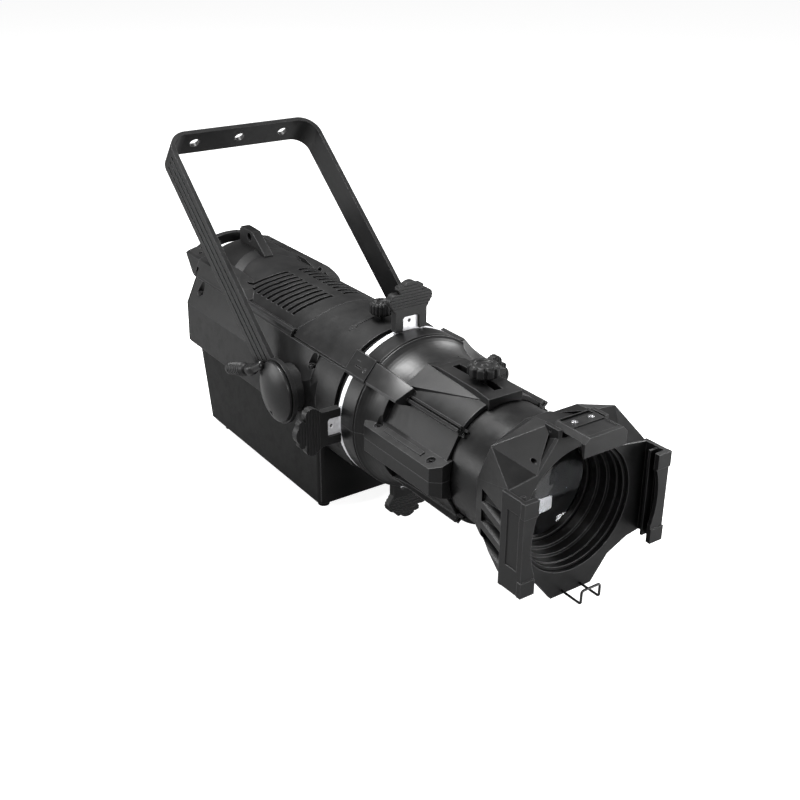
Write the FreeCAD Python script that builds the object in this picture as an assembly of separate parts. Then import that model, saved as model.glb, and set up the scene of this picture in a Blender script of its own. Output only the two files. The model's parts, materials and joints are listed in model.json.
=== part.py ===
import FreeCAD, Part
import itertools
import math
import os

# Ellipsoidal spotlight with an LED engine, a rotating lens barrel, four framing shutters and a yoke.
# Working frame, in millimetres: the optical axis is the Y axis, Y = 0 is the front face of the
# accessory slot and Y grows towards the rear, X is to the right seen from the front, Z is up.
# save() writes every piece in the final frame, whose origin is under the middle of the whole object.

V = FreeCAD.Vector
X_AXIS = V(1, 0, 0)
Y_AXIS = V(0, 1, 0)
Z_AXIS = V(0, 0, 1)

# ---- driving dimensions ------------------------------------------------------------------------
AXIS_HEIGHT = 143.0      # optical axis above the surface under the feet
REAR_END = 691.0         # back of the carrying handle
FRONT_END = -2.3         # front edge of the accessory latch

DOME_R = 80.0            # vented dome and round neck of the lamp house
HOOD_R = 84.5            # raised hood over the rear half of the dome
SEAM_Z = 47.5            # joint between the upper and the lower castings
SEAM_X = 67.0
COVER_X = 64.0           # foot of the cover's facet, which leaves a ledge along the seam
SIDE_X = 82.0            # widest half width of the lamp house
LIP_Z = -33.0            # lower lip of the lamp house
NECK_FRONT = 304.0
NECK_REAR = 372.0
COVER_REAR = 395.0       # joint between the front cover and the vented top, on the spine
SHELL_REAR = 648.0
PANEL_BACK = SHELL_REAR + 5
WALL = 3.0
SIDE_SCREW_X = 72.5      # screws up the sides of the lamp house
SIDE_SCREW_Y = (358.0, 628.0)
LOCK_KNOB_Y = 334.0      # rotation lock on the front cover

DISPLAY = (30.0, 20.0, 40.0)     # half width, bottom and top
BUTTON_X = (-24.0, -8.0, 8.0, 24.0)
BUTTON_Z = 9.0
SOCKET_X = (-57.0, -19.0, 19.0, 57.0)
SOCKET_Z = -15.0
FUSE = (52.0, 22.0)
PANEL_SCREWS = ((-74.0, -27.0), (74.0, -27.0), (-74.0, 17.0), (74.0, 17.0), (-48.0, 54.0), (48.0, 54.0))
HANDLE_Y = (680.0, REAR_END)     # carrying handle
HANDLE_R = (74.5, 86.5)
EYE_HOLE = (621.0, 96.4)         # safety cable hole

BOX_X = 68.0             # driver box half width
BOX_TOP = LIP_Z - 4.0
BOX_BOTTOM = -136.0
BOX_FRONT = 356.0
FOOT_H = AXIS_HEIGHT + BOX_BOTTOM
FOOT_X = 57.0
FOOT_Y = (368.0, 600.0)

PIVOT_Y = 388.0          # tilt axis, square to the optical axis
YOKE_IN = 94.1           # inner face of each yoke arm
YOKE_T = 5.0
YOKE_WIDE = 36.0
YOKE_REACH = 336.0       # tilt axis to the middle of the top bar
YOKE_TILT = 50.0         # degrees back from upright
YOKE_BEND = 25.0
YOKE_EYE_R = 36.0
YOKE_HOLE_R = 6.5
YOKE_HOLE_STEP = 58.9
BOLT_R = 5.95
BOLT_HOLE_R = 6.0

GATE_R = 84.1            # stainless gate ring
GATE_IN_R = 78.0
GATE_Y = (283.3, 289.2)
APERTURE_R = 38.0
BLADE_T = 1.0
BLADE_PITCH = 1.4
BLADE_FIRST_Y = 283.65
BLADE_INNER = 4.0        # inner edge of a blade when its handle is pushed home

BARREL_FRONT = 132.0
BARREL_REAR = GATE_Y[0]
BARREL_BORE_R = 62.9
TUBE_R = 62.2
TUBE_IN_R = 59.4
TUBE_FRONT = 29.0
TUBE_REAR = 236.0
KNOB_Y = 162.0
SLOT_Y = (139.0, 204.0)
STUD_R = 4.0
SLOT_HALF = 4.6
PLATEAU_Z = 73.0

HOLDER_X = 84.0          # outer half width of the accessory holder
FRAME_HALF = 80.0        # half width of the slot for a 158.75 mm colour frame
PLATE_Y = (25.0, 29.0)
OPENING_R = 62.6
HOLDER_REAR = 84.0

HANDLE_T = 8.0           # shutter handle thickness

MID_Y = (REAR_END + FRONT_END) / 2.0


# ---- helpers -----------------------------------------------------------------------------------
def box(x0, x1, y0, y1, z0, z1):
    return Part.makeBox(x1 - x0, y1 - y0, z1 - z0, V(x0, y0, z0))


def rod(radius, length, start, axis):
    return Part.makeCylinder(radius, length, start, axis)


def rod_y(radius, y0, y1, x=0.0, z=0.0):
    return rod(radius, y1 - y0, V(x, y0, z), Y_AXIS)


def rod_x(radius, x0, x1, y, z):
    return rod(radius, x1 - x0, V(x0, y, z), X_AXIS)


def rod_z(radius, z0, z1, x, y):
    return rod(radius, z1 - z0, V(x, y, z0), Z_AXIS)


def tube_y(outer, inner, y0, y1):
    return rod_y(outer, y0, y1).cut(rod_y(inner, y0 - 1, y1 + 1))


def prism(points, along):
    """Closed polygon swept along a vector."""
    face = Part.Face(Part.makePolygon(points + points[:1]))
    return face.extrude(along)


def prism_y(xz, y0, y1):
    return prism([V(x, y0, z) for x, z in xz], V(0, y1 - y0, 0))


def prism_x(yz, x0, x1):
    return prism([V(x0, y, z) for y, z in yz], V(x1 - x0, 0, 0))


def prism_z(xy, z0, z1):
    return prism([V(x, y, z0) for x, y in xy], V(0, 0, z1 - z0))


def spun_y(ry):
    """Solid of revolution about the optical axis from (radius, y) points."""
    points = [V(r, y, 0) for r, y in ry]
    return Part.Face(Part.makePolygon(points + points[:1])).revolve(V(0, 0, 0), Y_AXIS, 360)


def both_sides(xz):
    """Half outline from the right bottom up to the middle, completed by its mirror image."""
    return xz + [(-x, z) for x, z in reversed(xz) if x > 0]


def mirrored(shape):
    return shape.mirror(V(0, 0, 0), X_AXIS)


def pair(shape):
    return Part.makeCompound([shape, mirrored(shape)])


def turned(shape, degrees, axis=Y_AXIS, centre=V(0, 0, 0)):
    copy = shape.copy()
    copy.rotate(centre, axis, degrees)
    return copy


def joined(first, *others):
    return first.fuse(list(others)).removeSplitter()


def rounded(shape, radius, chosen):
    """Fillet of the edges that the test chooses by their bounding box."""
    edges = [e for e in shape.Edges if chosen(e.BoundBox)]
    return shape.makeFillet(radius, edges)


def save(name, shape):
    placed = shape.copy()
    placed.translate(V(0, -MID_Y, AXIS_HEIGHT))
    placed.exportStep("parts/" + name + ".step")


# ---- lamp house --------------------------------------------------------------------------------
BEAD = ((SEAM_X, 50.8), (SEAM_X - 1.6, 54.0), (SEAM_X - 4.4, 55.9), (SEAM_X - 6.6, 55.6))


def house_section(inset, bead):
    """Outline of the lamp house above the lip: lower sides, shoulder and dome, as a face."""
    radius = DOME_R - inset
    rise = math.radians(43.0 if bead else 47.3)
    edge = (radius * math.cos(rise), radius * math.sin(rise))
    side = [(SIDE_X - inset, LIP_Z), (SIDE_X - 1 - inset, 17.0)]
    if bead:
        side += [(SEAM_X - inset, SEAM_Z)] + [(x - inset, z - inset / 2) for x, z in BEAD]
    else:
        side += [(COVER_X - inset, SEAM_Z), (COVER_X - inset, SEAM_Z + 1.5)]
    side += [edge]
    right = [V(x, 0, z) for x, z in side]
    left = [V(-p.x, 0, p.z) for p in right]
    dome = Part.Arc(right[-1], V(0, 0, radius), left[-1]).toShape()
    lower = Part.makePolygon([left[-1]] + left[-2::-1] + right)
    return Part.Face(Part.Wire([dome] + lower.Edges))


def house_solid(inset, y0, y1, bead=True):
    face = house_section(inset, bead)
    face.translate(V(0, y0, 0))
    return face.extrude(V(0, y1 - y0, 0))


VENT_ROWS = 10
VENT_WIDTH = 5.4


def vent_cutter():
    """Swept-back slots on both sides of the spine of the dome."""
    slots = []
    for row in range(VENT_ROWS):
        inner_y = 419.5 + row * 10.95
        outer_y = 434.0 + row * 11.8
        bend_y = inner_y + (outer_y - inner_y) * 0.34
        line = [(6.5, inner_y), (29.0, bend_y), (50.0, outer_y)]
        outline = line + [(x, y + VENT_WIDTH) for x, y in reversed(line)]
        slots.append(prism_z(outline, 40.0, 95.0))
    slots += [mirrored(s) for s in slots]
    return Part.makeCompound(slots)


def joint_line(offset):
    """Plan outline of everything in front of the joint between cover and vented top."""
    line = [(0, COVER_REAR), (30, 396.5), (43, 400.5), (51, 406), (56, 411), (100, 411)]
    right = [(x, y + offset) for x, y in line]
    left = [(-x, y) for x, y in reversed(right)]
    return prism_z([(-100, 290)] + left[:-1] + right + [(100, 290)], 30, 110)


FOOT = (79.6, 592.0, 1.62)       # radius, y at the top and lean of the plane of the slope's foot
CREST = (85.6, 607.9, 1.19)      # the same a little above the crest, which the hood's radius cuts off


def hood_ring(radius, start, lean):
    """Closed outline of part of a ring about the optical axis, laid in a leaning plane."""
    turns = [math.radians(a) for a in (42, 54, 66, 78, 90, 102, 114, 126, 138)]

    def curve(reach):
        spline = Part.BSplineCurve()
        rises = [(reach * math.cos(a), reach * math.sin(a)) for a in turns]
        spline.interpolate([V(x, start - lean * (radius - z), z) for x, z in rises])
        return spline.toShape()

    out = curve(radius)
    back = curve(70.0)
    ends = [Part.makeLine(out.Vertexes[n].Point, back.Vertexes[n].Point) for n in (0, -1)]
    return Part.Wire(Part.__sortEdges__([out, ends[1], back, ends[0]]))


def hood():
    """Raised hood: a band that slopes up from the dome along a leaning arch, then a wider shell."""
    slope = Part.makeLoft([hood_ring(*FOOT), hood_ring(*CREST)], True, True)
    shell = rod_y(HOOD_R, 540, PANEL_BACK).common(box(-60, 60, 530, PANEL_BACK, 56, 90))
    radius, start, lean = CREST
    in_front = [(500, 30), (start - lean * (radius - 30), 30), (start - lean * (radius - 95), 95), (500, 95)]
    return joined(shell.cut(prism_x(in_front, -70, 70)), slope.common(rod_y(HOOD_R, 500, PANEL_BACK)))


WING = ((SEAM_X - 0.2, SEAM_Z + 0.1), (SEAM_X - 0.2, 50.5), (60.5, 68.0), (57.0, 70.2), (43.0, 73.5))


def wing():
    """Side wing that rises beside the hood and carries the handle, right side."""
    body = prism_y(list(WING) + [(40, 66), (57, 50)], 518, PANEL_BACK)
    slope = [(500, 50), (520, 57.5), (531, 64.6), (549, 69.6), (573, 74), (573, 100), (500, 100)]
    above = prism_x(slope, 38, 75)
    nose = prism_z([(70, 515), (57, 515), (63, 520), (67.5, 545)], 40, 90)
    return body.cut([above, nose])


def top_shell():
    """Vented upper casting with a raised hood and wings at its rear end."""
    y0, y1 = COVER_REAR, SHELL_REAR
    right_wing = wing()
    shell = joined(house_solid(0, y0, y1), hood(), right_wing, mirrored(right_wing))
    shell = shell.cut(house_solid(WALL, y0 - 1, y1 + 1))
    shell = shell.cut(box(-100, 100, y0 - 1, y1 + 1, LIP_Z - 1, SEAM_Z))
    corner = box(58, 70, y1, PANEL_BACK + 1, 40, 60)
    panel_room = [house_solid(0.55, y1, PANEL_BACK + 1), corner, mirrored(corner)]
    return shell.cut([vent_cutter(), joint_line(0.5)] + panel_room)


def front_cover():
    """Plain arched cover over the neck, with a facet down to the seam on each side."""
    outer = house_solid(0, NECK_FRONT, COVER_REAR + 20, bead=False)
    cover = outer.cut(house_solid(WALL, NECK_FRONT - 1, COVER_REAR + 21, bead=False))
    cover = cover.cut(box(-100, 100, 300, 420, LIP_Z - 1, SEAM_Z)).common(joint_line(0))
    arrow = tube_y(DOME_R + 0.8, DOME_R - 0.5, 340, 343)
    arrow = arrow.common(prism_z([(-30, 330), (-6, 330), (-6, 350), (-30, 350)], 60, 90))
    head = prism_z([(-30, 337), (-37, 341.5), (-30, 346)], 60, 90)
    head = head.common(tube_y(DOME_R + 0.8, DOME_R - 0.5, 336, 347))
    cover = cover.cut(rod_z(3.1, 60, 90, 0, LOCK_KNOB_Y))
    return joined(cover, arrow, head)


def chin():
    """Flat-sided ledge under the neck."""
    return prism_y([(66, -45), (58, -65), (30, -80), (-30, -80), (-58, -65), (-66, -45)], NECK_FRONT, 362)


def lower_shell():
    """Lamp house casting below the seam: round neck in front, six-sided body behind, open below."""
    body = house_solid(0, 352, SHELL_REAR)
    foot = [(SIDE_X, LIP_Z), (BOX_X + 4, BOX_TOP), (-BOX_X - 4, BOX_TOP), (-SIDE_X, LIP_Z)]
    skirt = prism_y(foot, 352, SHELL_REAR)
    neck = rod_y(DOME_R, NECK_FRONT, NECK_REAR)
    ledge = prism_z([(58, NECK_FRONT), (64.8, NECK_FRONT), (66.0, 353), (58, 353)], 40, SEAM_Z)
    outer = joined(body, skirt, neck, chin(), ledge, mirrored(ledge))
    bevel = prism_z([(76, 340), (84, 376), (100, 376), (100, 340)], -60, 60)
    outer = outer.cut([bevel, mirrored(bevel)])
    hollow = joined(house_solid(WALL, 356, SHELL_REAR + 1), rod_y(DOME_R - WALL, NECK_FRONT - 1, 380),
                    box(-BOX_X + 3, BOX_X - 3, BOX_FRONT + 3, SHELL_REAR + 1, -60, 0))
    shell = outer.cut(hollow).cut(box(-100, 100, 300, 700, SEAM_Z - 0.05, 100))
    for x in (-SIDE_X - 2, SIDE_X - 8):
        shell = shell.cut(rod_x(BOLT_HOLE_R, x, x + 10, PIVOT_Y, 0))
    for side in (-1, 1):
        for y in SIDE_SCREW_Y:
            x = side * SIDE_SCREW_X
            boss = rod_z(9.0, 14, SEAM_Z - 0.05, x, y).common(outer)
            shell = joined(shell, boss).cut([rod_z(6.4, 33, 60, x, y), rod_z(4.2, 32, 60, x, y),
                                             rod_z(1.8, 25, 33, x, y)])
    return shell


def screw(radius, head_h, stem_r, stem_len, socket_r, top, axis):
    """Socket screw whose head's top centre is at top and which points along minus axis."""
    head = rod(radius, head_h, top - axis * head_h, axis)
    stem = rod(stem_r, stem_len, top - axis * (head_h + stem_len), axis)
    socket = rod(socket_r, head_h * 0.6, top - axis * (head_h * 0.6), axis)
    return joined(head, stem).cut(socket)


def housing_screws():
    """Four screws up the sides of the lamp house and six through the rear panel."""
    screws = [screw(4.0, 4.0, 1.8, 6, 2.0, V(side * SIDE_SCREW_X, y, 36), Z_AXIS)
              for side in (-1, 1) for y in SIDE_SCREW_Y]
    screws += [screw(3.2, 2.0, 1.55, 8, 1.3, V(x, PANEL_BACK + 2, z), Y_AXIS) for x, z in PANEL_SCREWS]
    return Part.makeCompound(screws)


def driver_box():
    """Sheet-metal box under the lamp house, open at the top, with a raked back wall."""
    def block(inset, top):
        yz = [(BOX_FRONT + inset, BOX_BOTTOM + inset), (629 - inset, BOX_BOTTOM + inset),
              (SHELL_REAR + 2 - inset, BOX_TOP), (SHELL_REAR + 2 - inset, top), (BOX_FRONT + inset, top)]
        return prism_x(yz, -BOX_X + inset, BOX_X - inset)
    outer = block(0, BOX_TOP - 0.01)
    outer = rounded(outer, 7.0, lambda b: b.ZLength > 50 and b.YMax < BOX_FRONT + 1)
    return outer.cut([block(2.0, BOX_TOP + 5), rod_y(DOME_R, 340, NECK_REAR), chin()])


def rear_panel():
    """Back plate with openings for the display, buttons and sockets."""
    plate = house_solid(0.6, SHELL_REAR, SHELL_REAR + 5)
    plate = plate.cut(box(-DISPLAY[0], DISPLAY[0], 640, 660, DISPLAY[1], DISPLAY[2]))
    for x in BUTTON_X:
        plate = plate.cut(rod_y(3.6, 640, 660, x, BUTTON_Z))
    for x in SOCKET_X:
        plate = plate.cut(rod_y(11.0, 640, 660, x, SOCKET_Z))
    plate = plate.cut(rod_y(6.5, 640, 660, FUSE[0], FUSE[1]))
    for row in range(5):
        half = 40 - row * 5
        plate = plate.cut(box(-half, half, 640, 660, 48 + row * 6, 51 + row * 6))
    for x, z in PANEL_SCREWS:
        plate = plate.cut(rod_y(1.6, 640, 660, x, z))
    return plate


def rear_handle():
    """Carrying handle: two raked ears behind the panel, joined by an arch round the optical axis."""
    inside = [(40.0, 64.5), (51.0, 61.0), (57.0, SEAM_Z + 0.1)]
    ear = prism_y(list(WING) + inside, PANEL_BACK, REAR_END)
    rake = prism_x([(656, 40), (656, SEAM_Z), (REAR_END, 68), (REAR_END + 9, 68), (REAR_END + 9, 40)], 30, 80)
    ear = ear.cut([rake, rod_z(2.6, 60, 80, 51, 668)])
    arch = tube_y(HANDLE_R[1], HANDLE_R[0], *HANDLE_Y).common(box(-46, 46, 670, 700, 62, 90))
    arch = arch.cut(tube_y(HANDLE_R[1] + 3, HANDLE_R[1] - 1.5, HANDLE_Y[1] - 1.5, HANDLE_Y[1] + 1))
    return joined(ear, mirrored(ear), arch)


def safety_eye():
    """Narrow block on the hood with a cross hole for the safety cable."""
    yz = [(582, 82), (613, 104.5), (641, 105.5), (646, 101), (646, 78), (582, 78)]
    block = prism_x(yz, -5.5, 5.5).cut(rod_x(5.0, -10, 10, *EYE_HOLE))
    return block.cut(joined(rod_y(DOME_R, 570, SHELL_REAR), hood()))


def feet():
    pads = []
    for x in (-FOOT_X, FOOT_X):
        for y in FOOT_Y:
            pad = Part.makeCone(6.5, 8.0, FOOT_H, V(x, y, -AXIS_HEIGHT), Z_AXIS)
            pads.append(pad)
    return Part.makeCompound(pads)


# ---- light engine inside the lamp house ---------------------------------------------------------
def heat_sink():
    base = box(-52, 52, 372, 380, -48, 44)
    fins = [box(x, x + 2.5, 380, 466, -48, 44) for x in range(-52, 51, 9)]
    return joined(base, *fins)


def led_module():
    board = box(-24, 24, 369, 372, -24, 24)
    emitter = rod_y(14, 366.5, 369)
    return joined(board, emitter)


def engine_tube():
    """Cone-fronted tube between the heat sink and the condenser lens."""
    tube = tube_y(46, 43, 336, 372)
    return joined(tube, tube_y(46, 36, 336, 340))


def lens_solid(radius, edge, y0, rise_front, rise_back):
    """Biconvex lens: half its section, with an arc for each face, spun about the optical axis."""
    def face_arc(rim_y, pole_y):
        ball_r = (radius ** 2 + (pole_y - rim_y) ** 2) / (2 * abs(pole_y - rim_y))
        half = math.asin(radius / ball_r) / 2
        toward = 1 if pole_y > rim_y else -1
        middle = V(ball_r * math.sin(half), pole_y - toward * ball_r * (1 - math.cos(half)), 0)
        return Part.Arc(V(0, pole_y, 0), middle, V(radius, rim_y, 0)).toShape()

    y1 = y0 + edge
    front = face_arc(y0, y0 - rise_front)
    back = face_arc(y1, y1 + rise_back)
    rim = Part.makeLine(V(radius, y0, 0), V(radius, y1, 0))
    middle_line = Part.makeLine(V(0, y1 + rise_back, 0), V(0, y0 - rise_front, 0))
    section = Part.Face(Part.Wire(Part.__sortEdges__([front, rim, back, middle_line])))
    return section.revolve(V(0, 0, 0), Y_AXIS, 360)


FAN_Y = (486.0, 511.0)
FAN_Z = -2.0


def fan_frame():
    y0, y1 = FAN_Y
    frame = box(-46, 46, y0, y1, FAN_Z - 46, FAN_Z + 46).cut(rod_y(43.5, y0 - 1, y1 + 1, 0, FAN_Z))
    spokes = rod_y(14, y0, y0 + 3, 0, FAN_Z)
    for turn in range(3):
        arm = box(-3, 3, y0, y0 + 3, FAN_Z, FAN_Z + 45)
        spokes = joined(spokes, turned(arm, 120 * turn + 20, Y_AXIS, V(0, y0, FAN_Z)))
    frame = joined(frame, spokes, rod_y(6, y0, y0 + 12, 0, FAN_Z))
    return frame.cut(rod_y(2.05, y0 - 1, y0 + 13, 0, FAN_Z))


def fan_rotor():
    y0, y1 = FAN_Y
    hub = rod_y(17, y0 + 4, y1 - 2, 0, FAN_Z).cut(rod_y(6.6, y0 + 3, y1 - 8, 0, FAN_Z))
    rotor = joined(hub, rod_y(2.0, y0, y1 - 4, 0, FAN_Z))
    for turn in range(7):
        blade = box(-1.0, 1.0, y0 + 7, y1 - 4, 14, 41.5)
        blade = turned(blade, 32, Z_AXIS, V(0, (y0 + y1) / 2, 0))
        blade.translate(V(0, 0, FAN_Z))
        rotor = joined(rotor, turned(blade, turn * 360 / 7, Y_AXIS, V(0, y0, FAN_Z)))
    return rotor


def power_supply():
    case = box(-48, 48, 390, 560, BOX_BOTTOM + 8, BOX_BOTTOM + 52)
    legs = [box(-48, -40, y, y + 10, BOX_BOTTOM + 2, BOX_BOTTOM + 8) for y in (390, 550)]
    legs += [box(40, 48, y, y + 10, BOX_BOTTOM + 2, BOX_BOTTOM + 8) for y in (390, 550)]
    return joined(case, *legs)


def control_board():
    board = box(-43, 43, 628, 629.6, 0, 44)
    posts = [rod_y(3, 629.6, SHELL_REAR, x, z) for x in (-39, 39) for z in (3, 41)]
    chips = [box(-30, -12, 624, 628, 8, 24), box(6, 30, 625, 628, 14, 30)]
    return joined(board, *(posts + chips))


def display_window():
    return box(-DISPLAY[0], DISPLAY[0], SHELL_REAR + 1, PANEL_BACK + 0.6, DISPLAY[1], DISPLAY[2])


def menu_button(x):
    cap = rod_y(3.3, SHELL_REAR - 0.3, PANEL_BACK + 2.2, x, BUTTON_Z)
    flange = rod_y(4.6, SHELL_REAR - 1.8, SHELL_REAR - 0.3, x, BUTTON_Z)
    return joined(cap, flange)


def panel_socket(x, pins, keyed):
    """Round panel connector with a square flange outside and a barrel through the panel."""
    z = SOCKET_Z
    flange = box(x - 13, x + 13, PANEL_BACK, PANEL_BACK + 2, z - 14, z + 14)
    barrel = rod_y(10.9, SHELL_REAR - 16, PANEL_BACK + 4, x, z)
    body = joined(flange, barrel)
    cup = rod_y(8.6, SHELL_REAR - 6, PANEL_BACK + 5, x, z)
    body = body.cut(cup)
    if keyed:
        key = box(x - 1.5, x + 1.5, SHELL_REAR - 6, PANEL_BACK + 3, z + 6.5, z + 8.8)
        body = joined(body, key)
    for n in range(pins):
        angle = math.radians(90 + 360.0 * n / pins)
        pin = rod_y(1.1, SHELL_REAR - 6, PANEL_BACK, x + 4.6 * math.cos(angle), z + 4.6 * math.sin(angle))
        body = joined(body, pin)
    return body


def fuse_holder():
    x, z = FUSE
    cap = joined(rod_y(8, PANEL_BACK, PANEL_BACK + 5, x, z), rod_y(6.4, SHELL_REAR - 22, PANEL_BACK, x, z))
    return cap.cut(box(x - 5, x + 5, PANEL_BACK + 3.6, PANEL_BACK + 6, z - 0.8, z + 0.8))


# ---- tilt pivots and yoke -----------------------------------------------------------------------
BOSS_END = 92.5
BOLT_END = 104.0


def pivot_bosses():
    boss = rod_x(27, SIDE_X - 3, BOSS_END, PIVOT_Y, 0).cut(rod_x(BOLT_HOLE_R, 60, 110, PIVOT_Y, 0))
    boss = boss.cut(house_solid(0, 340, 440)).cut(rod_y(DOME_R, 340, 440))
    return pair(boss)


def friction_washers():
    washer = rod_x(25, BOSS_END, YOKE_IN - 0.1, PIVOT_Y, 0).cut(rod_x(BOLT_HOLE_R, 60, 110, PIVOT_Y, 0))
    return pair(washer)


def pivot_bolts():
    bolt = joined(rod_x(BOLT_R, 66, BOLT_END, PIVOT_Y, 0), rod_x(11, 68, 74, PIVOT_Y, 0))
    return pair(bolt)


def yoke():
    """Flat bar bent to a U with round eyes, grooved outside, tilted back about the pivot."""
    out = YOKE_IN + YOKE_T
    half = YOKE_WIDE / 2
    top = YOKE_REACH + YOKE_T / 2
    outer = prism_y([(-out, 0), (out, 0), (out, top), (-out, top)], -half, half)
    outer = rounded(outer, YOKE_BEND, lambda b: b.YLength > 30 and b.ZMin > top - 1)
    inner = prism_y([(-YOKE_IN, -1), (YOKE_IN, -1), (YOKE_IN, top - YOKE_T), (-YOKE_IN, top - YOKE_T)],
                    -half - 1, half + 1)
    inner = rounded(inner, YOKE_BEND - YOKE_T, lambda b: b.YLength > 30 and b.ZMin > top - YOKE_T - 1)
    strap = outer.cut(inner)
    for groove in (-9, 0, 9):
        cutter = box(out - 1.2, out + 1, groove - 1.3, groove + 1.3, 30, top - YOKE_BEND - 2)
        strap = strap.cut([cutter, mirrored(cutter)])
    eye = rod_x(YOKE_EYE_R, YOKE_IN, out, 0, 0)
    strap = joined(strap, eye, mirrored(eye))
    strap = strap.cut(rod_x(BOLT_HOLE_R, -110, 110, 0, 0))
    for step in (-1, 0, 1):
        strap = strap.cut(rod_z(YOKE_HOLE_R, top - 20, top + 20, step * YOKE_HOLE_STEP, 0))
    strap.translate(V(0, PIVOT_Y, 0))
    return turned(strap, -YOKE_TILT, X_AXIS, V(0, PIVOT_Y, 0))


CAP_R = 33.5
CAP_IN = YOKE_IN + YOKE_T + 0.1
CAP_EDGE = 3.5
CAP_RISE = 8.5


def domed_cap():
    """Low dome over the pivot on the right side, with a bore for the bolt's end."""
    disc = rod_x(CAP_R, CAP_IN, CAP_IN + CAP_EDGE, PIVOT_Y, 0)
    ball_r = (CAP_R * CAP_R + CAP_RISE * CAP_RISE) / (2 * CAP_RISE)
    ball = Part.makeSphere(ball_r, V(CAP_IN + CAP_EDGE + CAP_RISE - ball_r, PIVOT_Y, 0))
    dome = ball.common(rod_x(CAP_R, CAP_IN + CAP_EDGE, CAP_IN + CAP_EDGE + CAP_RISE, PIVOT_Y, 0))
    cap = joined(disc, dome)
    cap = cap.cut(rod_x(BOLT_HOLE_R, CAP_IN - 1, BOLT_END + 0.6, PIVOT_Y, 0))
    return cap.cut(rod_x(2.2, CAP_IN + 6, 130, PIVOT_Y + 1, -24))


LEVER_X = -108.4


def lever_point(distance, drop):
    return V(LEVER_X, PIVOT_Y + distance, drop)


LEVER_BALL = lever_point(40, 13)
LEVER_TIP = lever_point(95.5, -5)
BALL_R = 8.0
CORE_R = 4.0


def lock_lever():
    """Ball-ended lever arm that grows out of the left cap's rim."""
    start = lever_point(19, 26) + V(2.6, 0, 0)
    along = LEVER_TIP - LEVER_BALL
    arm = rod(4.5, (LEVER_BALL - start).Length, start, LEVER_BALL - start)
    core = rod(CORE_R, along.Length - 4, LEVER_BALL, along)
    return joined(arm, Part.makeSphere(BALL_R, LEVER_BALL), core).cut(mirrored(domed_cap()))


def lever_grip():
    """Ribbed sleeve on the lever, thickest near its inner end."""
    along = LEVER_TIP - LEVER_BALL
    length = along.Length
    along.normalize()
    grip = Part.makeCone(6.0, 8.2, 6, LEVER_BALL + along * 13, along)
    grip = joined(grip, Part.makeCone(8.2, 7.2, length - 22, LEVER_BALL + along * 19, along),
                  Part.makeCone(7.2, 4.5, 3, LEVER_BALL + along * (length - 3), along))
    for rib in range(7):
        at = LEVER_BALL + along * (20 + rib * 4.8)
        grip = grip.cut(rod(11, 1.6, at, along).cut(rod(6.6, 1.6, at, along)))
    return grip.cut(rod(CORE_R, length - 4, LEVER_BALL, along))


# ---- gate and shutters --------------------------------------------------------------------------
SIDES = ("top", "left", "bottom", "right")   # in the order of turning about the optical axis


def blade_y(index):
    return BLADE_FIRST_Y + index * BLADE_PITCH


def gate_ring():
    """Stainless ring with one slot for each blade."""
    ring = tube_y(GATE_R, GATE_IN_R, *GATE_Y)
    for index in range(4):
        y = blade_y(index)
        slot = box(-18, 18, y - 0.4, y + BLADE_T + 0.4, 60, 95)
        ring = ring.cut(turned(slot, -90 * index))
    return ring


def gate_plates():
    """Aperture plates in front of and behind the blades."""
    front = tube_y(76.0, APERTURE_R, 281.2, GATE_Y[0] - 0.1)
    rear = tube_y(72.5, APERTURE_R, GATE_Y[1] + 0.1, GATE_Y[1] + 1.4)
    return Part.makeCompound([front, rear])


def blade():
    """Shutter blade for the top side, its inner edge just above the optical axis."""
    xz = [(32, BLADE_INNER), (32, 26), (17, 40.5), (17, 101), (15, 103), (-15, 103), (-17, 101), (-17, 40.5),
          (-32, 26), (-32, BLADE_INNER)]
    plate = prism_y(xz, 0, BLADE_T)
    return plate.cut(rod_y(2.0, -1, 3, 0, 94))


def handle():
    """Lobed grip that straddles the blade: three rounded lobes on a forked stem."""
    y0 = (BLADE_T - HANDLE_T) / 2
    y1 = y0 + HANDLE_T
    depth = 0.8
    stem = box(-19, 19, y0, y1, GATE_R + 0.7, 112)
    head = rod_y(12.5, y0, y1, 0, 124)
    for x in (-1, 1):
        head = joined(head, rod_y(7.5, y0, y1, x * 18.5, 118), rod_y(4.0, y0, y1, x * 11.0, 129))
    shoulders = [(-19, 106), (19, 106), (25, 114), (18, 125), (-18, 125), (-25, 114)]
    head = joined(head, prism_y(shoulders, y0, y1))
    grip = joined(stem, head)
    for rib in range(8):
        z = 109.5 + rib * 3.2
        grip = grip.cut([box(-30, 30, y0 - 1, y0 + depth, z, z + 1.3),
                         box(-30, 30, y1 - depth, y1 + 1, z, z + 1.3)])
    grip = grip.cut(prism_y([(-10, 80), (-10, 98), (-8, 100), (8, 100), (10, 98), (10, 80)], y0 - 1, y1 + 1))
    return grip.cut(blade())


def bearing_ring():
    """Turning ring that carries the barrel inside the neck of the lamp house."""
    return joined(tube_y(76.5, 72.5, GATE_Y[1], 322), tube_y(76.5, 46.5, GATE_Y[1] + 1.4, 294))


# ---- lens barrel --------------------------------------------------------------------------------
FLANGE_FRONT = 259.0
BARREL_Y = (257, 254, 251, 248, 245, 241, 237, 232, 226, 219, 210, 200, 188, 175, 160, 146, BARREL_FRONT)
RAIL_ANGLE = 43.0
BARREL_SCREW_Y = (145.0, 232.0)
BARREL_SCREW_X = 72.0
SCREW_SEAT_Z = 11.5
BAND_REAR = ((40, 36), (66, 46.5), (68.5, 48.5), (68, 50.8), (54, 68), (40, 60))
BAND_FRONT = ((40, 36), (66, 46.5), (68.5, 48.5), (67.5, 50.8), (47, 58.5), (40, 50))


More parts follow.
